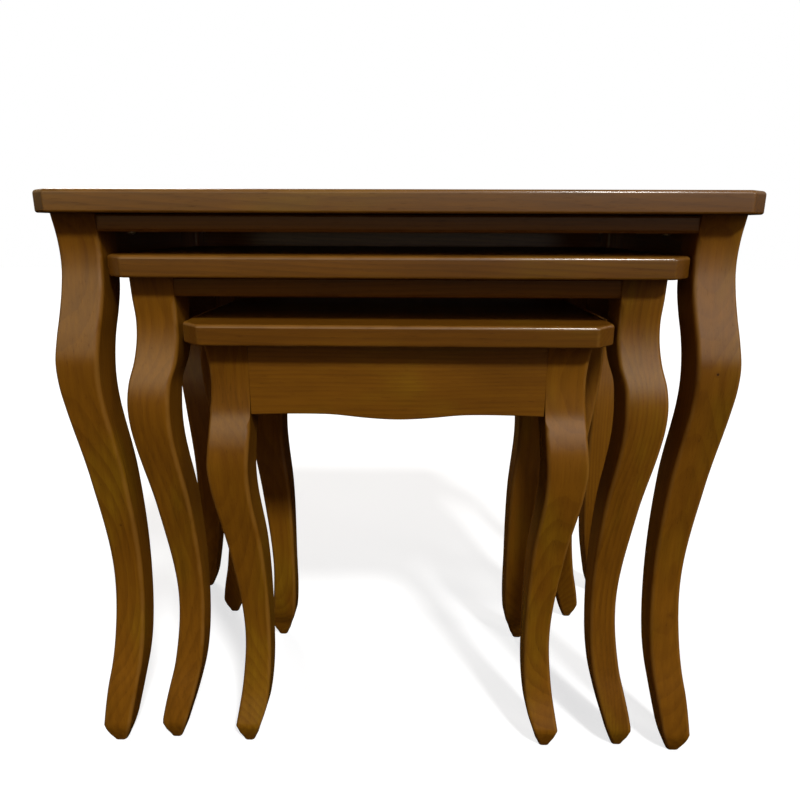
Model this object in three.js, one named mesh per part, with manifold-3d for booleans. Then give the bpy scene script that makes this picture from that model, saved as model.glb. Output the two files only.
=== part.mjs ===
// A nest of three wooden tables on sawn S-curved legs, in millimetres.
// +X runs along the tables, -Y is their front and +Z is up.
// The origin is on the floor, under the middle of the large table.
import * as THREE from "three";
import Module from "manifold-3d";

const wasm = await Module();
wasm.setup();

const fit = 0.3; // clearance left round a glued or screwed piece

// Tops: a solid board with clipped corners and softened arrises.
const boardThickness = 18.5;
const cornerClip = 18;
const cornerSoftening = 6;
const topArris = 3;
const bottomArris = 2;

// Legs: their sawn widths from the toe up, and the heights between which they change.
const toeWidth = 25;
const shinWidth = 27.6;
const ankleWidth = 26;
const calfWidth = 32.6;
const underKneeWidth = 36.6;
const kneeWidth = 38.4;
const overKneeWidth = 38;
const kneeReach = 25;
const neckHeight = 34;
const capHeight = 14;
const legArris = 4;
const narrowArris = 0.3; // the arris on a narrow section, as a share of its width
const legSteps = 24;

// The curve between those heights: two places on the shin as shares of the ankle's height and of the
// kick out to the toe, then how far the outer face leaves the knee's inset and the waist's.
const lowShinHeight = 0.3;
const lowShinKick = 0.76;
const highShinHeight = 0.54;
const highShinKick = 0.34;
const calfTowardsKnee = 0.4;
const underKneeInset = 1.6;
const overKneeInset = 2.6;
const underWaistSwell = 2.6;
const underWaistExtra = 1.6;
const capSwell = 1.3;

// Feet: square, with a chamfer sawn all round the toe.
const toeHeight = 22;
const toeChamfer = 7;
const footWidth = 9.5;
const toeBreakHeight = 0.55; // where the chamfer steepens, as a share of the toe's height
const toeBreakInset = 0.34; // and what is left of the chamfer there
const toeBreakExtra = 10;

// Aprons and rails between the legs.
const apronThickness = 16;
const railArris = 2.5;
const apronArris = 1;
const tenonLength = 17;
const tenonThickness = 8;
const tenonShoulder = 3.5;
const mortiseOpen = 9; // a mortise is cut from this far outside the leg's inner face

// The small table's front apron: how deep its lower edge drops, then places along each half of that edge,
// as shares from its middle to its end, with how far the edge rises there.
const apronDrop = 3.6;
const dropAt = 0.3;
const flankAt = 0.34;
const flankRise = 0.6;
const shoulderAt = 0.52;
const shoulderRise = 1;
const crestAt = 0.7;
const crestRise = 1.4;
const rootAt = 0.86;
const rootRise = 0.5;

// Corner braces that hold the top, each with one screw.
const braceInset = 112;
const braceThickness = 14;
const braceHeight = 15;
const screwShank = 2;
const screwHead = 4;
const screwHeadHeight = 2.4;
const screwCrown = 0.6; // the flat on the head, as a share of its radius
const screwShoulder = 0.93;
const screwShoulderDrop = 0.6;
const screwBite = 12;
const screwPoint = 5;
const screwTip = 0.4;
const screwSides = 12;

// Finishes
const walnutStain = { color: 0x5a2c12, roughness: 0.34, metalness: 0 };
const rawWood = { color: 0xb98d5c, roughness: 0.7, metalness: 0 };
const zincScrew = { color: 0xb9b6a4, roughness: 0.35, metalness: 0.9 };

// Each table: its outside size, where its middle and its front edge stand, and its leg forms.
// A leg form is how far the leg's outer face stands in from the edge of the top at its named heights,
// then how far in its inner face and the face of the apron stand, just under the top.
const large = {
  name: "large",
  width: 600,
  depth: 328,
  height: 542.5,
  centreX: 0,
  frontY: -164,
  apronDepth: 50,
  railHeight: 15,
  kneeHeight: 392,
  ankleHeight: 185,
  shinExtra: 2.4,
  fromFront: { top: 14.3, waist: 18.2, knee: 7.3, ankle: 25.2, toe: 4, inner: 54, apron: 17.5 },
  fromEnd: { top: 13.2, waist: 15.4, knee: 3.7, ankle: 23.2, toe: 3.5, inner: 51.2, apron: 14.8 },
};
const middle = {
  name: "middle",
  width: 494.5,
  depth: 256,
  height: 490.5,
  centreX: 0.6,
  frontY: -158,
  apronDepth: 50,
  railHeight: 17,
  kneeHeight: 354,
  ankleHeight: 155,
  shinExtra: 0,
  fromFront: { top: 15, waist: 17.2, knee: 6.4, ankle: 25.8, toe: 4, inner: 54, apron: 17.5 },
  fromEnd: { top: 17.3, waist: 18.6, knee: 7, ankle: 28.8, toe: 7.8, inner: 55.7, apron: 18.2 },
};
// The small table's legs stand further in under the ends of its top than under its front and back.
const small = {
  name: "small",
  width: 374,
  depth: 212,
  height: 434,
  centreX: 1.6,
  frontY: -162,
  apronDepth: 65.5,
  kneeHeight: 303,
  ankleHeight: 120,
  shinExtra: 0,
  fromFront: { top: 15, waist: 18.2, knee: 8, ankle: 25.5, toe: 5, inner: 54, apron: 17.5 },
  fromEnd: { top: 17, waist: 20.2, knee: 13.4, ankle: 33.6, toe: 23.5, inner: 56, apron: 19.5 },
};

const group = new THREE.Group();

function addMesh(name, geometry, finish) {
  const mesh = new THREE.Mesh(geometry, new THREE.MeshStandardMaterial(finish));
  mesh.name = name;
  group.add(mesh);
}

// Solids for cutting
function toSolid(geometry) {
  const plain = geometry.index ? geometry.toNonIndexed() : geometry;
  const points = new Float32Array(plain.getAttribute("position").array);
  const corners = new Uint32Array(points.length / 3).map((unused, i) => i);
  const mesh = new wasm.Mesh({ numProp: 3, vertProperties: points, triVerts: corners });
  mesh.merge();
  return new wasm.Manifold(mesh);
}

function toGeometry(solid) {
  const mesh = solid.getMesh();
  const geometry = new THREE.BufferGeometry();
  geometry.setAttribute("position", new THREE.BufferAttribute(mesh.vertProperties, 3));
  geometry.setIndex(new THREE.BufferAttribute(mesh.triVerts, 1));
  return geometry;
}

// A block given by its two extreme corners.
function block(low, high) {
  const size = high.map((value, i) => value - low[i]);
  const box = new THREE.BoxGeometry(...size);
  return box.translate(...low.map((value, i) => value + size[i] / 2));
}

// A skin over a stack of convex rings, each anticlockwise from above, closed at both ends.
function loft(rings) {
  const count = rings[0].length;
  const corners = [];
  for (let level = 0; level < rings.length - 1; level += 1) {
    for (let i = 0; i < count; i += 1) {
      const a = level * count + i;
      const b = level * count + ((i + 1) % count);
      corners.push(a, b, b + count, a, b + count, a + count);
    }
  }
  const last = (rings.length - 1) * count;
  for (let i = 1; i < count - 1; i += 1) {
    corners.push(0, i + 1, i);
    corners.push(last, last + i, last + i + 1);
  }
  const geometry = new THREE.BufferGeometry();
  geometry.setAttribute("position", new THREE.Float32BufferAttribute(rings.flat(2), 3));
  geometry.setIndex(corners);
  return geometry;
}

// A convex outline at one height, each of its corners eased over a short distance.
function easedRing(outline, ease, z) {
  return outline.flatMap((corner, i) => {
    const before = outline[(i + outline.length - 1) % outline.length];
    const after = outline[(i + 1) % outline.length];
    const start = corner.clone().lerp(before, ease / corner.distanceTo(before));
    const end = corner.clone().lerp(after, ease / corner.distanceTo(after));
    const curve = new THREE.QuadraticBezierCurve(start, corner, end);
    return curve.getPoints(2).map((point) => [point.x, point.y, z]);
  });
}

function screwHole(x, y, low, high) {
  const radius = screwShank + fit;
  const hole = new THREE.CylinderGeometry(radius, radius, high - low, screwSides);
  return toSolid(hole.rotateX(Math.PI / 2).translate(x, y, (low + high) / 2));
}

function topOutline(table, shrink) {
  const left = table.centreX - table.width / 2 + shrink;
  const right = table.centreX + table.width / 2 - shrink;
  const front = table.frontY + shrink;
  const back = table.frontY + table.depth - shrink;
  const clip = cornerClip - shrink * (2 - Math.SQRT2);
  return [
    new THREE.Vector2(left + clip, front),
    new THREE.Vector2(right - clip, front),
    new THREE.Vector2(right, front + clip),
    new THREE.Vector2(right, back - clip),
    new THREE.Vector2(right - clip, back),
    new THREE.Vector2(left + clip, back),
    new THREE.Vector2(left, back - clip),
    new THREE.Vector2(left, front + clip),
  ];
}

// Rounding of an arris: pairs of how far in and how far along.
function arris(radius, steps) {
  return Array.from({ length: steps + 1 }, (unused, i) => {
    const turn = (i / steps) * (Math.PI / 2);
    return [radius * (1 - Math.sin(turn)), radius * (1 - Math.cos(turn))];
  });
}

function makeTop(table, screwPlaces) {
  const under = table.height - boardThickness;
  const levels = [];
  for (const [shrink, rise] of arris(bottomArris, 2)) {
    levels.push([shrink, under + rise]);
  }
  for (const [shrink, rise] of arris(topArris, 4).reverse()) {
    levels.push([shrink, table.height - rise]);
  }
  const rings = levels.map(([shrink, z]) => easedRing(topOutline(table, shrink), cornerSoftening, z));
  let board = toSolid(loft(rings));
  for (const [x, y] of screwPlaces) {
    board = board.subtract(screwHole(x, y, under - 1, under + screwBite + 1));
  }
  addMesh(`${table.name}_top`, toGeometry(board), walnutStain);
}

// The stations of a leg from the floor up: height, inset of the outer face, and width, seen from one way.
function legForm(table, form) {
  const { kneeHeight, ankleHeight, shinExtra } = table;
  const top = table.height - boardThickness;
  const kick = form.ankle - form.toe;
  const neck = top - neckHeight;
  const calfHeight = (kneeHeight + ankleHeight) / 2;
  const calfInset = form.knee * calfTowardsKnee + form.ankle * (1 - calfTowardsKnee);
  const points = [
    [toeHeight, form.toe, toeWidth + shinExtra],
    [ankleHeight * lowShinHeight, form.ankle - kick * lowShinKick, shinWidth + shinExtra],
    [ankleHeight * highShinHeight, form.ankle - kick * highShinKick, shinWidth + shinExtra],
    [ankleHeight, form.ankle, ankleWidth + shinExtra],
    [calfHeight, calfInset, calfWidth + shinExtra / 2],
    [kneeHeight - kneeReach, form.knee + underKneeInset, underKneeWidth],
    [kneeHeight, form.knee, kneeWidth],
    [kneeHeight + kneeReach, form.knee + overKneeInset, overKneeWidth],
    [neck - neckHeight, form.waist - underWaistSwell, form.inner - form.waist + underWaistExtra],
    [neck, form.waist, form.inner - form.waist],
    [top - capHeight, form.waist - capSwell, form.inner - form.waist + capSwell],
    [top, form.top, form.inner - form.top],
  ];
  const heights = points.map((point) => point[0]);
  const outer = new THREE.CubicInterpolant(heights, points.map((point) => point[1]), 1);
  const width = new THREE.CubicInterpolant(heights, points.map((point) => point[2]), 1);
  const foot = footWidth + shinExtra;
  const stations = [
    [0, form.toe + toeChamfer, foot],
    [toeHeight * toeBreakHeight, form.toe + toeChamfer * toeBreakInset, foot + toeBreakExtra],
  ];
  for (let i = 0; i <= legSteps; i += 1) {
    const z = toeHeight + ((top - toeHeight) * i) / legSteps;
    stations.push([z, outer.evaluate(z)[0], width.evaluate(z)[0]]);
  }
  return stations;
}

// The edges of a table's top at one corner; side and end are -1 or 1, to the left and the front or not.
function cornerEdges(table, side, end) {
  const edgeX = table.centreX + (side * table.width) / 2;
  const edgeY = end < 0 ? table.frontY : table.frontY + table.depth;
  return [edgeX, edgeY];
}

function legRing(table, side, end, [z, insetX, widthX], [, insetY, widthY]) {
  const [cornerX, cornerY] = cornerEdges(table, side, end);
  const edgeX = cornerX - side * insetX;
  const innerX = edgeX - side * widthX;
  const edgeY = cornerY - end * insetY;
  const innerY = edgeY - end * widthY;
  const [x0, x1] = [Math.min(edgeX, innerX), Math.max(edgeX, innerX)];
  const [y0, y1] = [Math.min(edgeY, innerY), Math.max(edgeY, innerY)];
  const outline = [
    new THREE.Vector2(x0, y0),
    new THREE.Vector2(x1, y0),
    new THREE.Vector2(x1, y1),
    new THREE.Vector2(x0, y1),
  ];
  const ease = Math.min(legArris, widthX * narrowArris, widthY * narrowArris);
  return easedRing(outline, ease, z);
}

// Where a tenon lies: how far in from the edge of the top, and its heights.
function tenonSpan(inset, low, high) {
  const middleInset = inset + apronThickness / 2;
  return {
    near: middleInset - tenonThickness / 2,
    far: middleInset + tenonThickness / 2,
    low: low + tenonShoulder,
    high: high - tenonShoulder,
  };
}

function makeLeg(table, side, end, lengthApronLow) {
  const top = table.height - boardThickness - fit;
  const { fromFront, fromEnd } = table;
  const depthForm = legForm(table, fromFront);
  const rings = legForm(table, fromEnd).map(([z, inset, width], i) =>
    legRing(table, side, end, [Math.min(z, top), inset, width], depthForm[i]),
  );
  let leg = toSolid(loft(rings));
  const [edgeX, edgeY] = cornerEdges(table, side, end);
  const reach = tenonLength + fit;
  const long = tenonSpan(fromFront.apron, lengthApronLow, top);
  const cross = tenonSpan(fromEnd.apron, table.height - boardThickness - table.apronDepth, top);
  const place = (lowX, lowY, lowZ, highX, highY, highZ) => {
    const xs = [edgeX - side * lowX, edgeX - side * highX].sort((a, b) => a - b);
    const ys = [edgeY - end * lowY, edgeY - end * highY].sort((a, b) => a - b);
    return toSolid(block([xs[0], ys[0], lowZ], [xs[1], ys[1], highZ]));
  };
  leg = leg.subtract(
    place(
      fromEnd.inner - reach, long.near - fit, long.low - fit,
      fromEnd.inner + mortiseOpen, long.far + fit, long.high + fit,
    ),
  );
  leg = leg.subtract(
    place(
      cross.near - fit, fromFront.inner - reach, cross.low - fit,
      cross.far + fit, fromFront.inner + mortiseOpen, cross.high + fit,
    ),
  );
  const name = `${table.name}_leg_${end < 0 ? "front" : "back"}_${side < 0 ? "left" : "right"}`;
  addMesh(name, toGeometry(leg), walnutStain);
}

// A rail along X: a square section with its two lower arrises rounded, and a tenon at each end.
function makeRail(table) {
  const high = table.height - boardThickness - fit;
  const low = table.height - boardThickness - table.railHeight;
  const { fromFront, fromEnd } = table;
  const y0 = table.frontY + fromFront.apron;
  const y1 = y0 + apronThickness;
  const section = new THREE.Shape();
  section.moveTo(y0 + railArris, low);
  section.lineTo(y1 - railArris, low);
  section.absarc(y1 - railArris, low + railArris, railArris, -Math.PI / 2, 0, false);
  section.lineTo(y1, high);
  section.lineTo(y0, high);
  section.lineTo(y0, low + railArris);
  section.absarc(y0 + railArris, low + railArris, railArris, Math.PI, 1.5 * Math.PI, false);
  const half = table.width / 2 - fromEnd.inner - fit;
  const bar = new THREE.ExtrudeGeometry(section, { depth: 2 * half, bevelEnabled: false, curveSegments: 4 });
  bar.rotateY(Math.PI / 2).rotateX(Math.PI / 2).translate(table.centreX - half, 0, 0);
  const tenon = tenonSpan(fromFront.apron, low, high);
  const tongue = block(
    [table.centreX - half - tenonLength + fit, table.frontY + tenon.near, tenon.low],
    [table.centreX + half + tenonLength - fit, table.frontY + tenon.far, tenon.high],
  );
  addMesh(`${table.name}_front_rail`, toGeometry(toSolid(bar).add(toSolid(tongue))), walnutStain);
}

// The lower edge of an apron, from one leg to the other: straight, or with a shallow drop in its middle.
function apronShape(length, low, high, drop) {
  const half = length / 2;
  const shape = new THREE.Shape();
  shape.moveTo(-half, low);
  if (drop > 0) {
    const root = [half * rootAt, low + rootRise];
    const crest = [half * crestAt, low + crestRise];
    const shoulder = [half * shoulderAt, low + shoulderRise];
    const flank = [half * flankAt, low + flankRise];
    const bottom = [half * dropAt, low - drop];
    const onLeft = ([along, z]) => [-along, z];
    shape.bezierCurveTo(...onLeft(root), ...onLeft(crest), ...onLeft(shoulder));
    shape.bezierCurveTo(...onLeft(flank), ...onLeft(bottom), 0, low - drop);
    shape.bezierCurveTo(...bottom, ...flank, ...shoulder);
    shape.bezierCurveTo(...crest, ...root, half, low);
  } else {
    shape.lineTo(half, low);
  }
  shape.lineTo(half, high);
  shape.lineTo(-half, high);
  return shape;
}

// An apron with a tenon at each end, standing along X at a place on Y, or turned to stand along Y.
function makeApron(name, table, length, drop, place) {
  const high = table.height - boardThickness - fit;
  const low = table.height - boardThickness - table.apronDepth;
  const shape = apronShape(length - 2 * fit, low, high, drop);
  const depth = apronThickness - 2 * apronArris;
  const board = new THREE.ExtrudeGeometry(shape, {
    depth,
    curveSegments: 7,
    bevelEnabled: true,
    bevelThickness: apronArris,
    bevelSize: apronArris,
    bevelOffset: -apronArris,
    bevelSegments: 2,
  });
  board.rotateX(Math.PI / 2).translate(0, depth / 2, 0);
  const tenon = tenonSpan(0, low, high);
  const reach = length / 2 + tenonLength - 2 * fit;
  const tongue = block(
    [-reach, -tenonThickness / 2, tenon.low],
    [reach, tenonThickness / 2, tenon.high],
  );
  const geometry = toGeometry(toSolid(board).add(toSolid(tongue)));
  addMesh(name, place(geometry), walnutStain);
}

// A brace across a corner, mitred against the two aprons, with the screw that holds the top.
function makeBrace(table, side, end, x, y) {
  const top = table.height - boardThickness - fit;
  const innerX = table.fromEnd.apron + apronThickness + fit;
  const innerY = table.fromFront.apron + apronThickness + fit;
  const inside = braceInset + braceThickness * Math.SQRT2;
  const [edgeX, edgeY] = cornerEdges(table, side, end);
  const corner = (insetX, insetY) => new THREE.Vector2(edgeX - side * insetX, edgeY - end * insetY);
  const shape = new THREE.Shape([
    corner(innerX, braceInset - innerX),
    corner(innerX, inside - innerX),
    corner(inside - innerY, innerY),
    corner(braceInset - innerY, innerY),
  ]);
  const bar = new THREE.ExtrudeGeometry(shape, { depth: braceHeight, bevelEnabled: false });
  bar.translate(0, 0, top - braceHeight);
  const brace = toSolid(bar).subtract(screwHole(x, y, top - braceHeight - 1, top + 1));
  const where = `${end < 0 ? "front" : "back"}_${side < 0 ? "left" : "right"}`;
  addMesh(`${table.name}_brace_${where}`, toGeometry(brace), rawWood);

  const seat = top - braceHeight - fit;
  const tip = table.height - boardThickness + screwBite;
  const profile = [
    [0, seat - screwHeadHeight],
    [screwHead * screwCrown, seat - screwHeadHeight],
    [screwHead * screwShoulder, seat - screwHeadHeight * screwShoulderDrop],
    [screwHead, seat],
    [screwShank, seat],
    [screwShank, tip - screwPoint],
    [screwTip, tip],
    [0, tip],
  ].map(([radius, z]) => new THREE.Vector2(radius, z));
  const screw = new THREE.LatheGeometry(profile, screwSides);
  screw.rotateX(Math.PI / 2).translate(x, y, 0);
  addMesh(`${table.name}_top_screw_${where}`, screw, zincScrew);
}

function makeTable(table) {
  const hasRail = table !== small;
  const high = table.height - boardThickness;
  const apronLow = high - table.apronDepth;
  const centreInset = (braceInset + (braceThickness * Math.SQRT2) / 2) / 2;
  const corners = [];
  for (const end of [-1, 1]) {
    for (const side of [-1, 1]) {
      const [edgeX, edgeY] = cornerEdges(table, side, end);
      corners.push([side, end, edgeX - side * centreInset, edgeY - end * centreInset]);
    }
  }
  makeTop(table, corners.map(([side, end, x, y]) => [x, y]));
  for (const [side, end, x, y] of corners) {
    makeLeg(table, side, end, end < 0 && hasRail ? high - table.railHeight : apronLow);
    makeBrace(table, side, end, x, y);
  }
  const centreY = table.frontY + table.depth / 2;
  const frontInset = table.fromFront.apron + apronThickness / 2;
  const endInset = table.fromEnd.apron + apronThickness / 2;
  const long = table.width - 2 * table.fromEnd.inner;
  const cross = table.depth - 2 * table.fromFront.inner;
  if (hasRail) {
    makeRail(table);
  } else {
    makeApron(`${table.name}_front_apron`, table, long, apronDrop, (geometry) =>
      geometry.translate(table.centreX, table.frontY + frontInset, 0),
    );
  }
  makeApron(`${table.name}_back_apron`, table, long, 0, (geometry) =>
    geometry.translate(table.centreX, table.frontY + table.depth - frontInset, 0),
  );
  for (const side of [-1, 1]) {
    makeApron(`${table.name}_side_apron_${side < 0 ? "left" : "right"}`, table, cross, 0, (geometry) =>
      geometry.rotateZ(Math.PI / 2).translate(
        table.centreX + side * (table.width / 2 - endInset),
        centreY,
        0,
      ),
    );
  }
}

makeTable(large);
makeTable(middle);
makeTable(small);

export default group;
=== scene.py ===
import math
import random

import bmesh
import bpy
from mathutils import Matrix, Vector, geometry


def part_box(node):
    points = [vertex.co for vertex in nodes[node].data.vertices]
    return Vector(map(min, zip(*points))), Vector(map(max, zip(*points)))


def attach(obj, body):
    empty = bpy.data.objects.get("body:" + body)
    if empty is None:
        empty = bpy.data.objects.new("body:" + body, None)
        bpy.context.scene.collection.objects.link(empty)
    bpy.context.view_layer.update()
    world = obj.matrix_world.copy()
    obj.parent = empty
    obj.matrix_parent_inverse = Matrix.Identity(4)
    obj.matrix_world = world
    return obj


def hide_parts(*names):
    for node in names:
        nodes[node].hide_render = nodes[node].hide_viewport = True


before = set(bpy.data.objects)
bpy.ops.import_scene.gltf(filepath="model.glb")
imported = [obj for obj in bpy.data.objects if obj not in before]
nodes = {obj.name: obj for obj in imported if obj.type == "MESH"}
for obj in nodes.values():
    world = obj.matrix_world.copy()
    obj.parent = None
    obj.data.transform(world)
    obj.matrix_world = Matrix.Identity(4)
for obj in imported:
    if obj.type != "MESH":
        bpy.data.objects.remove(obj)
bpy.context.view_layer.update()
print("frame loaded with", len(nodes), "nodes")


class Wire:
    # an output socket; arithmetic on it adds Math nodes to its tree
    def __init__(self, tree, socket):
        self.tree = tree
        self.socket = socket

    def maths(self, operation, *values):
        return self.tree.node("ShaderNodeMath", {"operation": operation}, dict(enumerate(values)))

    def __add__(self, other):
        return self.maths("ADD", self, other)

    def __radd__(self, other):
        return self.maths("ADD", other, self)

    def __sub__(self, other):
        return self.maths("SUBTRACT", self, other)

    def __rsub__(self, other):
        return self.maths("SUBTRACT", other, self)

    def __mul__(self, other):
        return self.maths("MULTIPLY", self, other)

    def __rmul__(self, other):
        return self.maths("MULTIPLY", other, self)

    def __truediv__(self, other):
        return self.maths("DIVIDE", self, other)

    def __rtruediv__(self, other):
        return self.maths("DIVIDE", other, self)

    def __pow__(self, other):
        return self.maths("POWER", self, other)

    def __rpow__(self, other):
        return self.maths("POWER", other, self)

    def __abs__(self):
        return self.maths("ABSOLUTE", self)


class Tree:
    # the nodes of one material or world
    def __init__(self, owner):
        owner.use_nodes = True
        self.nodes = owner.node_tree.nodes
        self.links = owner.node_tree.links
        self.nodes.clear()

    def node(self, kind, settings=None, sockets=None, output=0):
        made = self.nodes.new(kind)
        for key, value in (settings or {}).items():
            setattr(made, key, value)
        for key, value in (sockets or {}).items():
            if isinstance(value, Wire):
                self.links.new(value.socket, made.inputs[key])
            else:
                made.inputs[key].default_value = value
        return Wire(self, made.outputs[output]) if made.outputs else None

    def stretch(self, place, factors):
        return self.node("ShaderNodeVectorMath", {"operation": "MULTIPLY"}, {0: place, 1: factors})

    def noise(self, place, fineness, detail, rough):
        # fineness: how many times the noise changes in a metre, along each axis
        where = self.stretch(place, fineness)
        sockets = {"Vector": where, "Scale": 1.0, "Detail": detail, "Roughness": rough}
        return self.node("ShaderNodeTexNoise", {"noise_dimensions": "3D"}, sockets)

    def step(self, value, low, high):
        sockets = {"Value": value, "From Min": low, "From Max": high}
        return self.node("ShaderNodeMapRange", {"interpolation_type": "SMOOTHSTEP"}, sockets)

    def blend(self, factor, first, second, how="MIX"):
        settings = {"data_type": "RGBA", "blend_type": how}
        return self.node("ShaderNodeMix", settings, {0: factor, 6: first, 7: second}, 2)


def tone(red, green, blue):
    return (red, green, blue, 1)


walnutStain = {
    "early": tone(0.166, 0.065, 0.0024),
    "late": tone(0.104, 0.037, 0.0014),
    "thin": tone(0.190, 0.096, 0.0030),
    "thinShare": 0.75,
    "endGrain": tone(0.055, 0.017, 0.001),
    # the arrises' lighter colour below is partly real wear and partly a painted highlight
    "wornAndHighlight": tone(0.26, 0.125, 0.022),
    "knot": tone(0.020, 0.006, 0.001),
    "ringWidth": 0.0034,
    "ringDepth": 0.40,
    "ringWander": 0.020,
    "fibre": 0.20,
    "blotch": 0.36,
    "wearAndHighlight": 0.45,
    "roughness": 0.55,
    "specular": 0.12,
    "coat": 0.9,
    "coatRoughness": 0.20,
    "coatIor": 1.5,
    "rubbedTop": 0.68,
    "grainRelief": 0.00005,
    "brushRelief": 0.00022,
}

bareSoftwood = {
    "early": tone(0.52, 0.345, 0.175),
    "late": tone(0.33, 0.185, 0.075),
    "thin": tone(0.58, 0.41, 0.23),
    "thinShare": 0.5,
    "endGrain": tone(0.30, 0.18, 0.085),
    # the arrises' lighter colour below is partly real wear and partly a painted highlight
    "wornAndHighlight": tone(0.60, 0.44, 0.26),
    "knot": tone(0.10, 0.04, 0.015),
    "ringWidth": 0.0026,
    "ringDepth": 0.8,
    "ringWander": 0.010,
    "fibre": 0.25,
    "blotch": 0.25,
    "wearAndHighlight": 0.3,
    "roughness": 0.72,
    "specular": 0.3,
    "coat": 0.0,
    "coatRoughness": 0.3,
    "coatIor": 1.5,
    "rubbedTop": 0.0,
    "grainRelief": 0.00012,
    "brushRelief": 0.0001,
}


# how the wood is grown; a pattern is how fine it is per metre, across, across and along the log,
# then its detail and its roughness, and an edge is the two values between which a mask fades in
grain = {
    "lean": 1.6,  # degrees between the board and the log, at most
    "drift": ((9, 9, 2.2), 2.0, 0.5),
    "ripple": ((60, 60, 7), 2.0, 0.5),
    "rippleShare": 0.12,
    "ringRise": (0.25, 0.9),
    "ringFall": (0.93, 1.0),
    "years": ((0.31, 1, 1), 0.0, 0.5),
    "faintestYear": 0.35,
    "fibres": ((850, 850, 16), 3.0, 0.6),
    "threads": ((240, 240, 5), 2.0, 0.55),
    "threadShare": 1.5,
    "pores": ((1500, 1500, 70), 1.0, 0.5),
    "poreEdge": (0.63, 0.74),
    "poreShade": 0.22,
    "thin": ((15, 15, 6.5), 3.0, 0.6),
    "thinEdge": (0.50, 0.72),
    "blotch": ((26, 26, 9), 3.0, 0.55),
    "cloud": ((7, 7, 3.5), 1.0, 0.5),
    "cloudShare": 0.9,
    "streakShade": 1.6,
    "stainShade": 1.5,
    "greenFade": 1.12,
    "blueFade": 1.5,
    "endEdge": (0.80, 0.97),
    "endShade": 0.75,
    "knotRagged": 0.7,
    "knotHalo": (0.8, 2.6),
    "knotHaloShade": 0.45,
    "knotEye": (0.5, 0.95),
    "knotEyeShade": 0.9,
    "rubAndHighlight": ((38, 38, 38), 3.0, 0.5),
    "rubAndHighlightEdge": (0.42, 0.78),
    "arrisShare": 0.25,
    "unevenGloss": 0.12,
    "ringGloss": 0.05,
    "upEdge": (0.85, 0.99),
    "openCoat": 0.35,
    "endCoat": 0.4,
    "brush": ((75, 75, 14), 2.0, 0.5),
    "fibreRelief": 0.5,
    "ringRelief": 0.6,
    "bump": 0.6,
}


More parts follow.
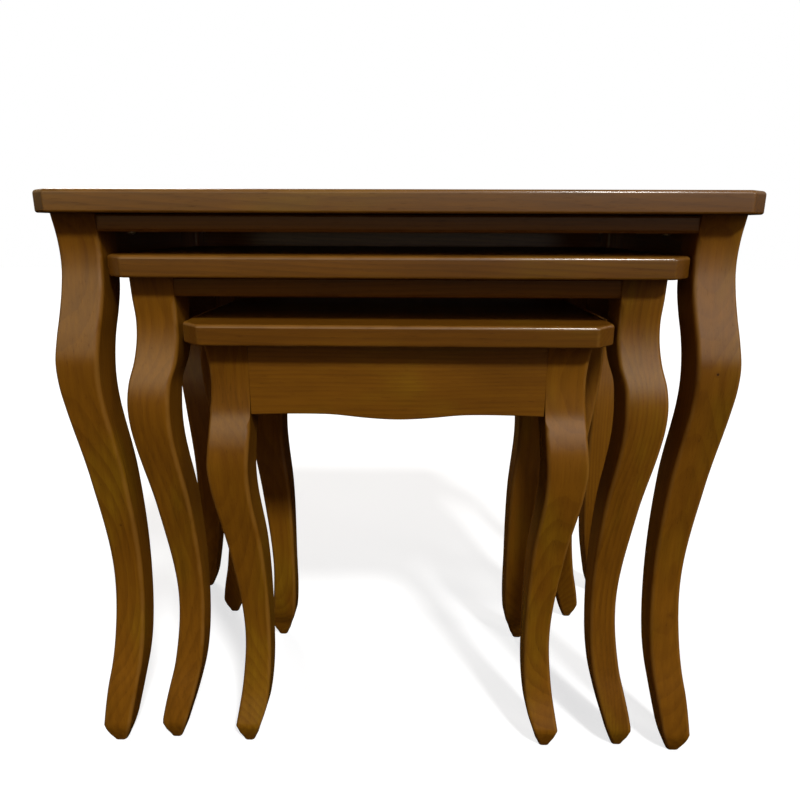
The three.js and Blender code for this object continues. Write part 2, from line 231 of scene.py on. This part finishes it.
def woodMaterial(name, wood, grainAxis, heart, seed, knots=(), depth=1.0, gloss=1.0, figure=1.0):
    # grainAxis: 0 along X, 1 along Y, 2 up. heart: the tree's middle, from which the rings grow.
    # depth and gloss: how much light the stain and the varnish give back, where the darker stain on the
    # rails is painted shade under the top. figure: how bold the rings are.
    material = bpy.data.materials.new(name)
    tree = Tree(material)
    turn = {0: (0, math.radians(90), 0), 1: (math.radians(-90), 0, 0), 2: (0, 0, 0)}[grainAxis]
    rng = random.Random(seed)
    lean = [angle + math.radians(rng.uniform(-grain["lean"], grain["lean"])) for angle in turn]
    body = tree.node("ShaderNodeTexCoord", output="Object")
    log = tree.node(
        "ShaderNodeMapping",
        {"vector_type": "TEXTURE"},
        {"Vector": body, "Location": heart, "Rotation": lean},
    )

    # growth rings, wandering a little along the log
    drift = tree.noise(log, *grain["drift"])
    ripple = tree.noise(log, *grain["ripple"])
    flat = tree.stretch(log, (1, 1, 0))
    radius = tree.node("ShaderNodeVectorMath", {"operation": "LENGTH"}, {0: flat}, 1)
    smallWander = wood["ringWander"] * grain["rippleShare"]
    wander = (drift - 0.5) * wood["ringWander"] + (ripple - 0.5) * smallWander
    growth = (radius + wander) / wood["ringWidth"]
    season = tree.node("ShaderNodeMath", {"operation": "FRACT"}, {0: growth})
    lateWood = tree.step(season, *grain["ringRise"]) * (1 - tree.step(season, *grain["ringFall"]))
    year = tree.node("ShaderNodeCombineXYZ", None, {0: growth})
    yearly = tree.noise(year, *grain["years"])
    ringMask = lateWood * (grain["faintestYear"] + yearly) * (wood["ringDepth"] * figure)

    # fibres and pores run with the grain
    fibres = tree.noise(log, *grain["fibres"])
    threads = tree.noise(log, *grain["threads"])
    pores = tree.step(tree.noise(log, *grain["pores"]), *grain["poreEdge"])
    blotch = tree.noise(log, *grain["blotch"])
    cloud = tree.noise(log, *grain["cloud"])

    # the stain went on thin in places, and late wood took more of it
    thin = tree.step(tree.noise(log, *grain["thin"]), *grain["thinEdge"])
    colour = tree.blend(thin * wood["thinShare"], wood["early"], wood["thin"])
    colour = tree.blend(ringMask, colour, wood["late"])
    streak = (fibres - 0.5) * wood["fibre"] + (threads - 0.5) * (wood["fibre"] * grain["threadShare"])
    stain = (blotch - 0.5) * wood["blotch"] + (cloud - 0.5) * (wood["blotch"] * grain["cloudShare"])
    shade = 1 + streak * grain["streakShade"] + stain * grain["stainShade"] - pores * grain["poreShade"]
    # darker still by the piece's darkening, which on the rails is painted shade from the top above them
    shade = shade * depth
    tint = tree.node(
        "ShaderNodeCombineColor",
        None,
        {0: shade, 1: shade ** grain["greenFade"], 2: shade ** grain["blueFade"]},
    )
    colour = tree.blend(1.0, colour, tint, "MULTIPLY")

    # the ends of the board drink more stain
    normal = tree.node("ShaderNodeTexCoord", output="Normal")
    axis = [(1, 0, 0), (0, 1, 0), (0, 0, 1)][grainAxis]
    along = tree.node("ShaderNodeVectorMath", {"operation": "DOT_PRODUCT"}, {0: normal, 1: axis}, 1)
    endMask = tree.step(abs(along), *grain["endEdge"])
    colour = tree.blend(endMask * grain["endShade"], colour, wood["endGrain"])

    # knots: a dark eye with the grain darkened round it
    for x, y, z, size in knots:
        away = tree.node("ShaderNodeVectorMath", {"operation": "DISTANCE"}, {0: body, 1: (x, y, z)}, 1)
        ragged = away + (threads - 0.5) * (size * grain["knotRagged"])
        halo = 1 - tree.step(ragged, *(size * edge for edge in grain["knotHalo"]))
        eye = 1 - tree.step(ragged, *(size * edge for edge in grain["knotEye"]))
        colour = tree.blend(halo * grain["knotHaloShade"], colour, wood["late"])
        colour = tree.blend(eye * grain["knotEyeShade"], colour, wood["knot"])

    # the arrises painted lighter: partly stain rubbed thin along them, partly a painted highlight
    arris = tree.node("ShaderNodeAttribute", {"attribute_name": "arris"}, output="Fac")
    rubAndHighlight = tree.step(tree.noise(body, *grain["rubAndHighlight"]) + arris * grain["arrisShare"], *grain["rubAndHighlightEdge"])
    colour = tree.blend(arris * rubAndHighlight * wood["wearAndHighlight"], colour, wood["wornAndHighlight"])

    uneven = (blotch - 0.5 + pores + endMask) * grain["unevenGloss"]
    roughness = wood["roughness"] + uneven - ringMask * grain["ringGloss"]
    # the varnish is rubbed duller on a face that looks up, and soaks in at pores and ends
    upward = tree.step(tree.node("ShaderNodeSeparateXYZ", None, {0: normal}, 2), *grain["upEdge"])
    soaked = (1 - pores * grain["openCoat"]) * (1 - endMask * grain["endCoat"])
    coat = soaked * (1 - upward * wood["rubbedTop"]) * (wood["coat"] * gloss)

    # open grain, and the faint ridges that a varnish brush leaves
    brush = tree.noise(log, *grain["brush"])
    openGrain = fibres * grain["fibreRelief"] - pores - ringMask * grain["ringRelief"]
    relief = openGrain * wood["grainRelief"] + brush * wood["brushRelief"]
    bump = tree.node(
        "ShaderNodeBump",
        None,
        {"Strength": grain["bump"], "Distance": 1.0, "Height": relief},
    )
    surface = tree.node("ShaderNodeBsdfPrincipled", None, {
        "Base Color": colour,
        "Roughness": roughness,
        "Coat Weight": coat,
        "Coat Roughness": wood["coatRoughness"],
        "Coat IOR": wood["coatIor"],
        "Specular IOR Level": wood["specular"],
        "Normal": bump,
    })
    tree.node("ShaderNodeOutputMaterial", None, {"Surface": surface})
    return material


zincPlate = {
    "colour": tone(0.62, 0.59, 0.47),
    "tarnish": tone(0.30, 0.27, 0.19),
    "tarnishShade": 0.8,
    "metallic": 0.9,
    "roughness": 0.34,
    "grimeRoughness": 0.25,
    "grime": ((420, 420, 420), 4.0, 0.6),
    "grimeEdge": (0.45, 0.75),
    "turning": ((900, 900, 5000), 1.0, 0.5),
    "turningRelief": 0.00003,
    "bump": 0.4,
}


def zincMaterial(name):
    material = bpy.data.materials.new(name)
    tree = Tree(material)
    body = tree.node("ShaderNodeTexCoord", output="Object")
    grime = tree.step(tree.noise(body, *zincPlate["grime"]), *zincPlate["grimeEdge"])
    turning = tree.noise(body, *zincPlate["turning"])
    colour = tree.blend(grime * zincPlate["tarnishShade"], zincPlate["colour"], zincPlate["tarnish"])
    relief = turning * zincPlate["turningRelief"]
    bump = tree.node(
        "ShaderNodeBump",
        None,
        {"Strength": zincPlate["bump"], "Distance": 1.0, "Height": relief},
    )
    surface = tree.node("ShaderNodeBsdfPrincipled", None, {
        "Base Color": colour,
        "Metallic": zincPlate["metallic"],
        "Roughness": zincPlate["roughness"] + grime * zincPlate["grimeRoughness"],
        "Normal": bump,
    })
    tree.node("ShaderNodeOutputMaterial", None, {"Surface": surface})
    return material


edgeLook = {
    "fullWearAndHighlight": 0.001,  # a smaller radius than this shows less wear and less painted highlight
    "sharpAngle": 40,
    "normalWeight": 90,
    "easeCurve": 0.3,  # where the middle of an eased edge stands, as a share of the ease
}


def roundedRing(corners, radii, steps):
    # a convex outline with each corner rounded: points, and how far round its arris each one is
    points = []
    for i, (corner, radius) in enumerate(zip(corners, radii)):
        before = (corners[i - 1] - corner).normalized()
        after = (corners[(i + 1) % len(corners)] - corner).normalized()
        opening = before.angle(after)
        reach = radius / math.tan(opening / 2)
        centre = corner + (before + after).normalized() * (radius / math.sin(opening / 2))
        first = corner + before * reach - centre
        last = corner + after * reach - centre
        for step in range(steps + 1):
            share = step / steps
            arm = first.slerp(last, share) * radius
            wearAndHighlight = math.sin(math.pi * share) * min(radius / edgeLook["fullWearAndHighlight"], 1)
            points.append((centre + arm, wearAndHighlight))
    return points


def loftMesh(name, rings):
    # rings: lists of (point, arris), all of one length, anticlockwise about the way the loft goes
    mesh = bpy.data.meshes.new(name)
    count = len(rings[0])
    verts = [point for ring in rings for point, arris in ring]
    faces = [list(range(count))[::-1], [(len(rings) - 1) * count + i for i in range(count)]]
    for level in range(len(rings) - 1):
        for i in range(count):
            a = level * count + i
            b = level * count + (i + 1) % count
            faces.append((a, b, b + count, a + count))
    mesh.from_pydata([tuple(v) for v in verts], [], faces)
    layer = mesh.attributes.new("arris", "FLOAT", "POINT")
    layer.data.foreach_set("value", [arris for ring in rings for point, arris in ring])
    mesh.validate()
    mesh.shade_smooth()
    mesh.set_sharp_from_angle(angle=math.radians(edgeLook["sharpAngle"]))
    return mesh


def bodyOf(node):
    return node.split("_")[0] + "_table"


def addPiece(node, mesh, material):
    # a finished piece that takes the place of a frame node and moves with its table
    piece = bpy.data.objects.new("visual_" + node, mesh)
    bpy.context.scene.collection.objects.link(piece)
    mesh.materials.clear()
    mesh.materials.append(material)
    soften = piece.modifiers.new("evenNormals", "WEIGHTED_NORMAL")
    soften.keep_sharp = True
    soften.weight = edgeLook["normalWeight"]
    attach(piece, bodyOf(node))
    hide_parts(node)


legLook = {
    "arris": 0.0042,
    "narrowArris": 0.30,
    "arrisSteps": 6,
    "sawnArris": (0.2, 0.6),  # how near the sawn corner the section's points are, in arrises
    "footSections": 2,
    "footEase": 0.0012,
    "levels": 120,
    # the two corners that stay sharp, beside the long apron and the cross one
    "jointCorners": {"front_left": (1, 3), "front_right": (0, 2), "back_left": (2, 0), "back_right": (3, 1)},
    "jointArris": 0.0004,
    "jointFade": 0.007,
    # where the tree's middle was: how far round, how far off and how high
    "heartBearing": 0.3,
    "heartDistance": (0.05, 0.09),
    "heartHeight": 3,
    # each knot's middle and size
    "knots": {
        "large_leg_front_right": [(0.2753, -0.1565, 0.393, 0.0017), (0.2687, -0.1390, 0.148, 0.0022)],
        "large_leg_front_left": [(-0.262, -0.1405, 0.238, 0.0012)],
    },
}


def legStations(node):
    # the square sections that the leg was sawn to: height and extent, from the floor up
    levels = {}
    for vertex in nodes[node].data.vertices:
        levels.setdefault(round(vertex.co.z, 5), []).append(vertex.co)
    stations = []
    for z, points in sorted(levels.items()):
        x0, x1 = min(p.x for p in points), max(p.x for p in points)
        y0, y1 = min(p.y for p in points), max(p.y for p in points)
        corners = [Vector((x, y, z)) for x in (x0, x1) for y in (y0, y1)]
        nearest = [min((p - c).length for p in points) for c in corners]
        # a level of a mortise has points right in a corner of its extent, or none near it
        least, most = (share * legLook["arris"] for share in legLook["sawnArris"])
        if min(nearest) > least and max(nearest) < most:
            stations.append((z, x0, x1, y0, y1))
    return stations


def between(stations, z):
    # a smooth curve through the sections, straight over the sawn chamfer of the foot
    index = 0
    while index < len(stations) - 2 and z > stations[index + 1][0]:
        index += 1
    start = stations[index]
    end = stations[index + 1]
    share = (z - start[0]) / (end[0] - start[0])
    if index < legLook["footSections"]:
        return [a + (b - a) * share for a, b in zip(start[1:], end[1:])]
    before = stations[max(index - 1, legLook["footSections"])]
    after = stations[min(index + 2, len(stations) - 1)]
    result = []
    for k in range(1, 5):
        span = end[0] - start[0]
        slopeStart = (end[k] - before[k]) / (end[0] - before[0]) * span
        slopeEnd = (after[k] - start[k]) / (after[0] - start[0]) * span
        t, t2, t3 = share, share ** 2, share ** 3
        result.append(
            (2 * t3 - 3 * t2 + 1) * start[k] + (t3 - 2 * t2 + t) * slopeStart
            + (3 * t2 - 2 * t3) * end[k] + (t3 - t2) * slopeEnd
        )
    return result


def jointCorners(node):
    # the corners of a leg that stay sharp beside its two aprons, and how low each apron reaches
    table, end, side = (node.split("_")[i] for i in (0, 2, 3))
    longCorner, crossCorner = legLook["jointCorners"][f"{end}_{side}"]
    long = f"{table}_front_rail" if f"{table}_front_rail" in nodes else f"{table}_front_apron"
    if end == "back":
        long = f"{table}_back_apron"
    cross = f"{table}_side_apron_{side}"
    return {longCorner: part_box(long)[0].z, crossCorner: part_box(cross)[0].z}


def makeLeg(node, seed):
    stations = legStations(node)
    joints = jointCorners(node)
    top = stations[-1][0]
    ease = legLook["footEase"]
    curve = ease * edgeLook["easeCurve"]
    heights = [(0, ease), (curve, curve), (ease, 0)]
    count = legLook["levels"]
    heights += [(ease + (top - ease) * (i + 1) / count, 0) for i in range(count)]
    rings = []
    for z, shrink in heights:
        x0, x1, y0, y1 = between(stations, z)
        x0, x1, y0, y1 = x0 + shrink, x1 - shrink, y0 + shrink, y1 - shrink
        arris = min(legLook["arris"], legLook["narrowArris"] * min(x1 - x0, y1 - y0))
        corners = [Vector((x, y)) for x, y in ((x0, y0), (x1, y0), (x1, y1), (x0, y1))]
        radii = [arris] * len(corners)
        for corner, low in joints.items():
            share = min(max((z - low) / legLook["jointFade"] + 1, 0), 1)
            radii[corner] = arris + (legLook["jointArris"] - arris) * share
        outline = roundedRing(corners, radii, legLook["arrisSteps"])
        rings.append([((point.x, point.y, z), wearAndHighlight) for point, wearAndHighlight in outline])
    rng = random.Random(seed)
    low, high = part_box(node)
    middle = (low + high) / 2
    # flat-sawn blanks: the tree's middle was in front of the leg or behind it
    swing = legLook["heartBearing"]
    bearing = rng.choice((-0.5, 0.5)) * math.pi + rng.uniform(-swing, swing)
    distance = rng.uniform(*legLook["heartDistance"])
    heart = (
        middle.x + distance * math.cos(bearing),
        middle.y + distance * math.sin(bearing),
        rng.uniform(-legLook["heartHeight"], legLook["heartHeight"]),
    )
    knots = legLook["knots"].get(node, ())
    material = woodMaterial("stained_" + node, walnutStain, 2, heart, seed, knots)
    addPiece(node, loftMesh(node, rings), material)


topLook = {
    "cornerClip": 0.018,
    "cornerRound": 0.0065,
    "topArris": 0.0032,
    "bottomArris": 0.0020,
    "arrisSteps": 6,
    "cornerSteps": 5,
    "cornerWearAndHighlight": 0.6,
    "flatMargin": 0.004,  # from the arris to where the flat face starts
    "depth": 0.74,
    "figure": 1.1,
    "heartAcross": 0.05,
    "heartBelow": (0.05, 0.09),
}


def topOutline(low, high, shrink):
    clip = topLook["cornerClip"] - shrink * (2 - math.sqrt(2))
    x0, x1 = low.x + shrink, high.x - shrink
    y0, y1 = low.y + shrink, high.y - shrink
    corners = (
        (x0 + clip, y0), (x1 - clip, y0), (x1, y0 + clip), (x1, y1 - clip),
        (x1 - clip, y1), (x0 + clip, y1), (x0, y1 - clip), (x0, y0 + clip),
    )
    return [Vector(corner) for corner in corners]


def makeTop(node, seed):
    low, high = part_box(node)
    steps = topLook["arrisSteps"]
    levels = []
    for radius, base, side in ((topLook["bottomArris"], low.z, 1), (topLook["topArris"], high.z, -1)):
        part = [(radius + topLook["flatMargin"], base, 0)]
        for i in range(steps + 1):
            turn = i / steps * math.pi / 2
            rise = radius * (1 - math.cos(turn))
            part.append((radius * (1 - math.sin(turn)), base + side * rise, math.sin(2 * turn)))
        levels += part if side > 0 else part[::-1]
    rings = []
    for shrink, z, wearAndHighlight in levels:
        corners = topOutline(low, high, shrink)
        radii = [topLook["cornerRound"]] * len(corners)
        # the board's upright corners get the wear and the painted highlight only on its edge, not on its
        # flat faces
        cornerShare = topLook["cornerWearAndHighlight"] if wearAndHighlight > 0 else 0
        ring = []
        for point, corner in roundedRing(corners, radii, topLook["cornerSteps"]):
            ring.append(((point.x, point.y, z), max(wearAndHighlight, corner * cornerShare)))
        rings.append(ring)
    rng = random.Random(seed)
    aside = rng.uniform(-topLook["heartAcross"], topLook["heartAcross"])
    heart = (0, (low.y + high.y) / 2 + aside, low.z - rng.uniform(*topLook["heartBelow"]))
    material = woodMaterial(
        "stained_" + node, walnutStain, 0, heart, seed,
        depth=topLook["depth"], figure=topLook["figure"],
    )
    addPiece(node, loftMesh(node, rings), material)


boardLook = {
    "tenon": 0.01645,
    "arris": 0.0014,
    "railArris": 0.0026,
    "railGloss": 0.25,
    # the rails' stain is darkened as painted shade from the top's overhang
    "railPaintedShade": 0.78,
    "arrisSteps": 6,
    "stations": 10,
    "dippedStations": 56,
    # the small table's front apron: how deep it drops, and how far it rises before each leg
    "dip": 0.0036,
    "dipReach": 0.5,
    "lift": 0.0012,
    "liftFrom": 0.25,
    "heartBelow": (0.03, 0.12),
    "heartAside": (0.02, 0.07),
}


def dippedEdge(share):
    # the drop of the small table's front apron, from one leg (0) to the other (1)
    away = abs(share * 2 - 1)
    dip = math.cos(min(away / boardLook["dipReach"], 1) * math.pi / 2) ** 2
    along = max(away - boardLook["liftFrom"], 0) / (1 - boardLook["liftFrom"])
    lift = math.sin(math.pi * min(along, 1))
    return boardLook["lift"] * lift * (1 - dip) - boardLook["dip"] * dip


def makeBoard(node, seed):
    low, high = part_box(node)
    alongX = (high.x - low.x) > (high.y - low.y)
    tenon = boardLook["tenon"]
    start, end = (low.x + tenon, high.x - tenon) if alongX else (low.y + tenon, high.y - tenon)
    side0, side1 = (low.y, high.y) if alongX else (low.x, high.x)
    isRail = node.endswith("rail")
    isDipped = node == "small_front_apron"
    arris = boardLook["railArris"] if isRail else boardLook["arris"]
    base = low.z + (boardLook["dip"] if isDipped else 0)
    count = boardLook["dippedStations"] if isDipped else boardLook["stations"]
    rings = []
    for i in range(count + 1):
        share = i / count
        bottom = base + (dippedEdge(share) if isDipped else 0)
        section = ((side0, bottom), (side1, bottom), (side1, high.z), (side0, high.z))
        corners = [Vector(corner) for corner in section]
        place = start + (end - start) * share
        ring = []
        for point, wearAndHighlight in roundedRing(corners, [arris] * len(corners), boardLook["arrisSteps"]):
            spot = (place, point.x, point.y) if alongX else (point.x, place, point.y)
            ring.append((spot, wearAndHighlight))
        rings.append(ring if alongX else ring[::-1])
    rng = random.Random(seed)
    middle = (low + high) / 2
    heart = [middle.x, middle.y, low.z - rng.uniform(*boardLook["heartBelow"])]
    heart[1 if alongX else 0] += rng.choice((-1, 1)) * rng.uniform(*boardLook["heartAside"])
    gloss = boardLook["railGloss"] if isRail else 1
    # a rail's colour is darkened as painted shade under the top
    depth = boardLook["railPaintedShade"] if isRail else 1
    axis = 0 if alongX else 1
    material = woodMaterial("stained_" + node, walnutStain, axis, heart, seed, depth=depth, gloss=gloss)
    addPiece(node, loftMesh(node, rings), material)


braceLook = {
    "arris": 0.0008,
    "arrisSteps": 3,
    "leastTurn": 0.1,  # a flatter bend than this is no corner
    "heartAside": 0.03,
    "heartBelow": (0.02, 0.05),
}


def makeBrace(node, seed):
    low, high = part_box(node)
    points = sorted({(round(v.co.x, 5), round(v.co.y, 5)) for v in nodes[node].data.vertices})
    hull = [Vector(points[i]) for i in geometry.convex_hull_2d(points)]
    corners = []
    for i, point in enumerate(hull):
        before = (point - hull[i - 1]).normalized()
        after = (hull[(i + 1) % len(hull)] - point).normalized()
        if before.angle(after) > braceLook["leastTurn"]:
            corners.append(point)
    area = sum(a.cross(b) for a, b in zip(corners, corners[1:] + corners[:1]))
    if area < 0:
        corners.reverse()
    ease = braceLook["arris"]
    curve = ease * edgeLook["easeCurve"]
    centre = sum(corners, Vector((0, 0))) / len(corners)
    lower = [(low.z, ease, 0), (low.z + curve, curve, 1), (low.z + ease, 0, 0)]
    upper = [(high.z - ease, 0, 0), (high.z - curve, curve, 1), (high.z, ease, 0)]
    rings = []
    for z, shrink, wearAndHighlight in lower + upper:
        outline = [corner + (centre - corner).normalized() * shrink for corner in corners]
        ring = []
        for point, corner in roundedRing(outline, [ease] * len(outline), braceLook["arrisSteps"]):
            ring.append(((point.x, point.y, z), max(wearAndHighlight, corner)))
        rings.append(ring)
    rng = random.Random(seed)
    aside = braceLook["heartAside"]
    heart = (
        centre.x + rng.uniform(-aside, aside),
        centre.y + rng.uniform(-aside, aside),
        low.z - rng.uniform(*braceLook["heartBelow"]),
    )
    material = woodMaterial("bare_" + node, bareSoftwood, 0, heart, seed)
    addPiece(node, loftMesh(node, rings), material)


screwLook = {
    "segments": 40,
    "headHeight": 0.0024,
    # the head from its crown to its underside: radius, and share of the head's height below its seat
    "head": [
        (0.0001, 1), (0.0016, 1), (0.0028, 0.86), (0.0036, 0.55),
        (0.00395, 0.2), (0.004, 0.0417), (0.0038, 0),
    ],
    "tip": 0.0001,
    "shank": 0.0019,
    "core": 0.72,  # between the threads, as a share of the shank
    "plain": 0.004,  # bare shank under the head
    "plainTip": 0.002,
    "pitch": 0.0012,
    "point": 0.003,
    "pointStart": 0.6,
    "crossWidth": 0.0011,
    "crossDepth": 0.0016,
    "crossReach": 0.0024,
    "crossTaper": 0.35,
    "sharpAngle": 35,
    "turn": 1.1,  # how much further round each screw ended up than the one before
}


def screwMesh(length):
    # head down at the origin, shank up
    mesh = bpy.data.meshes.new("screw")
    thick, shank, pitch = (screwLook[key] for key in ("headHeight", "shank", "pitch"))
    core = shank * screwLook["core"]
    profile = [(radius, -thick * share) for radius, share in screwLook["head"]]
    profile.append((shank, 0))
    threads = int((length - (screwLook["plain"] + screwLook["plainTip"])) / pitch)
    for i in range(threads):
        z = screwLook["plain"] + i * pitch
        profile += [(core, z), (shank, z + pitch / 3), (core, z + pitch * 2 / 3)]
    profile += [(shank * screwLook["pointStart"], length - screwLook["point"])]
    profile.append((screwLook["tip"], length))
    segments = screwLook["segments"]
    verts = []
    faces = []
    for radius, z in profile:
        for i in range(segments):
            turn = 2 * math.pi * i / segments
            verts.append((radius * math.cos(turn), radius * math.sin(turn), z))
    for level in range(len(profile) - 1):
        for i in range(segments):
            a = level * segments + i
            b = level * segments + (i + 1) % segments
            faces.append((a, b, b + segments, a + segments))
    faces.append(list(range(segments))[::-1])
    faces.append([(len(profile) - 1) * segments + i for i in range(segments)])
    mesh.from_pydata(verts, [], faces)
    mesh.validate()
    return cutCross(mesh)


def cutCross(mesh):
    wide, deep, reach = screwLook["crossWidth"] / 2, screwLook["crossDepth"], screwLook["crossReach"]
    cutter = bmesh.new()
    for turn in (0, math.pi / 2):
        made = bmesh.ops.create_cube(cutter, size=2)["verts"]
        for vert in made:
            taper = screwLook["crossTaper"] if vert.co.z > 0 else 1
            z = vert.co.z * deep - screwLook["headHeight"]
            vert.co = Vector((vert.co.x * reach * taper, vert.co.y * wide, z))
        bmesh.ops.rotate(cutter, verts=made, cent=(0, 0, 0), matrix=Matrix.Rotation(turn, 3, "Z"))
    tool = bpy.data.objects.new("crossCutter", bpy.data.meshes.new("crossCutter"))
    cutter.to_mesh(tool.data)
    cutter.free()
    blank = bpy.data.objects.new("screwBlank", mesh)
    for item in (tool, blank):
        bpy.context.scene.collection.objects.link(item)
    cut = blank.modifiers.new("cross", "BOOLEAN")
    cut.object = tool
    cut.operation = "DIFFERENCE"
    cut.use_self = True
    bpy.context.view_layer.update()
    depsgraph = bpy.context.evaluated_depsgraph_get()
    result = bpy.data.meshes.new_from_object(blank.evaluated_get(depsgraph))
    for item in (tool, blank):
        bpy.data.objects.remove(item)
    result.shade_smooth()
    result.set_sharp_from_angle(angle=math.radians(screwLook["sharpAngle"]))
    return result


def makeScrew(node, mesh, turn):
    low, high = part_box(node)
    piece = bpy.data.objects.new("visual_" + node, mesh)
    bpy.context.scene.collection.objects.link(piece)
    piece.location = ((low.x + high.x) / 2, (low.y + high.y) / 2, low.z + screwLook["headHeight"])
    piece.rotation_euler = (0, 0, turn)
    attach(piece, bodyOf(node))
    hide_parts(node)


firstSeed = 100
seedStep = 7
for index, node in enumerate(sorted(nodes)):
    seed = firstSeed + index * seedStep
    if "_leg_" in node:
        makeLeg(node, seed)
    elif node.endswith("_top"):
        makeTop(node, seed)
    elif "_brace_" in node:
        makeBrace(node, seed)
    elif "apron" in node or "rail" in node:
        makeBoard(node, seed)
print("wooden pieces made")

low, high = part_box("large_top_screw_front_left")
screw = screwMesh(high.z - low.z - screwLook["headHeight"])
screw.materials.append(zincMaterial("zinc_screw"))
for index, node in enumerate(n for n in sorted(nodes) if "_screw_" in n):
    makeScrew(node, screw, index * screwLook["turn"])
print("screws made")


studio = {
    "floorSize": 14,
    "floor": tone(0.46, 0.475, 0.49),
    "floorFar": tone(0.445, 0.46, 0.475),
    "floorMottle": ((5, 5, 5), 3.0, 0.5),
    "floorRoughness": 0.9,
    "floorLift": 1.42,
    # each lamp's azimuth goes round from the front to the right
    "lampDistance": 2,
    "key": {"azimuth": 24, "height": 46, "softness": 7, "power": 2.45, "colour": (1.0, 0.97, 0.93)},
    "window": {"azimuth": 62, "height": 24, "softness": 14, "power": 0.40, "colour": (1.0, 0.95, 0.88)},
    "rear": {"azimuth": 208, "height": 30, "softness": 20, "power": 1.6, "colour": (1.0, 0.95, 0.88)},
    "ambient": 0.24,
    "ambientBelow": 0.09,
    "ambientColour": tone(1.0, 0.66, 0.42),
    "roomGlow": 0.25,
    "frontGlow": 1.75,
    "glowLeft": tone(1.0, 0.82, 0.50),
    "glowRight": tone(1.0, 0.92, 0.80),
    # the directions between which the room fades: up from the floor, back from the front,
    # up to its ceiling, and from its left to its right
    "horizon": (-0.07, 0.16),
    "frontEnd": (-0.85, 0.25),
    "ceiling": (0.35, 0.85),
    "leftToRight": (-0.5, 0.5),
}

# the camera: yaw turns it to the right, pitch down and roll clockwise, in degrees
view = {
    "place": (0.015, -0.6934, 0.515),
    "yaw": -1.12,
    "pitch": 15.28,
    "roll": 0.19,
    "lens": 28.8,
    "sensor": 36,
    "clipStart": 0.02,
}


def makeFloor():
    half = studio["floorSize"] / 2
    mesh = bpy.data.meshes.new("floor")
    corners = [(-half, -half, 0), (half, -half, 0), (half, half, 0), (-half, half, 0)]
    mesh.from_pydata(corners, [], [(0, 1, 2, 3)])
    floor = bpy.data.objects.new("floor", mesh)
    bpy.context.scene.collection.objects.link(floor)
    material = bpy.data.materials.new("pale_floor")
    tree = Tree(material)
    place = tree.node("ShaderNodeTexCoord", output="Object")
    mottle = tree.noise(place, *studio["floorMottle"])
    colour = tree.blend(mottle, studio["floor"], studio["floorFar"])
    surface = tree.node("ShaderNodeBsdfPrincipled", None, {
        "Base Color": colour,
        "Roughness": studio["floorRoughness"],
        "Emission Color": colour,
        "Emission Strength": studio["floorLift"],
    })
    tree.node("ShaderNodeOutputMaterial", None, {"Surface": surface})
    mesh.materials.append(material)
    # the room has a dark floor as far as the varnish is concerned
    floor.visible_glossy = False
    floor.visible_diffuse = False


def makeSun(name):
    spec = studio[name]
    data = bpy.data.lights.new(name, "SUN")
    data.angle = math.radians(spec["softness"])
    data.energy = spec["power"]
    data.color = spec["colour"]
    lamp = bpy.data.objects.new(name, data)
    bpy.context.scene.collection.objects.link(lamp)
    azimuth, height = math.radians(spec["azimuth"]), math.radians(spec["height"])
    level = Vector((math.sin(azimuth), -math.cos(azimuth), 0))
    place = level * math.cos(height) + Vector((0, 0, math.sin(height)))
    lamp.location = place * studio["lampDistance"]
    lamp.rotation_euler = (-place).to_track_quat("-Z", "Y").to_euler()


def makeSky():
    # white behind the tables, dim all round them, and a bright room in front for the varnish to catch
    world = bpy.data.worlds.new("studioSky")
    bpy.context.scene.world = world
    world.cycles.sampling_method = "NONE"
    tree = Tree(world)
    direction = tree.node("ShaderNodeTexCoord", output="Generated")
    right, back, height = (
        tree.node("ShaderNodeSeparateXYZ", None, {0: direction}, axis) for axis in range(3)
    )
    above = tree.step(height, *studio["horizon"])
    ahead = 1 - tree.step(back, *studio["frontEnd"])
    low = 1 - tree.step(height, *studio["ceiling"])
    sheen = above * (studio["roomGlow"] + ahead * low * studio["frontGlow"])
    ambient = studio["ambientBelow"] + above * (studio["ambient"] - studio["ambientBelow"])
    seen = tree.node("ShaderNodeLightPath", output="Is Camera Ray")
    mirrored = tree.node("ShaderNodeLightPath", output="Is Glossy Ray")
    strength = ambient + mirrored * (sheen - ambient) + seen * (1 - ambient)
    across = tree.step(right, *studio["leftToRight"])
    glow = tree.blend(across, studio["glowLeft"], studio["glowRight"])
    colour = tree.blend(mirrored, studio["ambientColour"], glow)
    colour = tree.blend(seen, colour, tone(1, 1, 1))
    background = tree.node("ShaderNodeBackground", None, {"Color": colour, "Strength": strength})
    tree.node("ShaderNodeOutputWorld", None, {"Surface": background})


def makeCamera():
    data = bpy.data.cameras.new("camera")
    data.lens = view["lens"]
    data.sensor_width = view["sensor"]
    data.clip_start = view["clipStart"]
    yaw, pitch, roll = (math.radians(view[key]) for key in ("yaw", "pitch", "roll"))
    level = Vector((math.sin(yaw), math.cos(yaw), 0))
    forward = level * math.cos(pitch) - Vector((0, 0, 1)) * math.sin(pitch)
    right = Vector((math.cos(yaw), -math.sin(yaw), 0))
    up = right.cross(forward)
    across = right * math.cos(roll) + up * math.sin(roll)
    upright = up * math.cos(roll) - right * math.sin(roll)
    turn = Matrix((across, upright, -forward)).transposed()
    camera = bpy.data.objects.new("camera", data)
    bpy.context.scene.collection.objects.link(camera)
    camera.matrix_world = Matrix.Translation(view["place"]) @ turn.to_4x4()
    bpy.context.scene.camera = camera


makeFloor()
for name in ("key", "window", "rear"):
    makeSun(name)
makeSky()
makeCamera()
bpy.context.scene.view_settings.view_transform = "Standard"
print("studio ready")
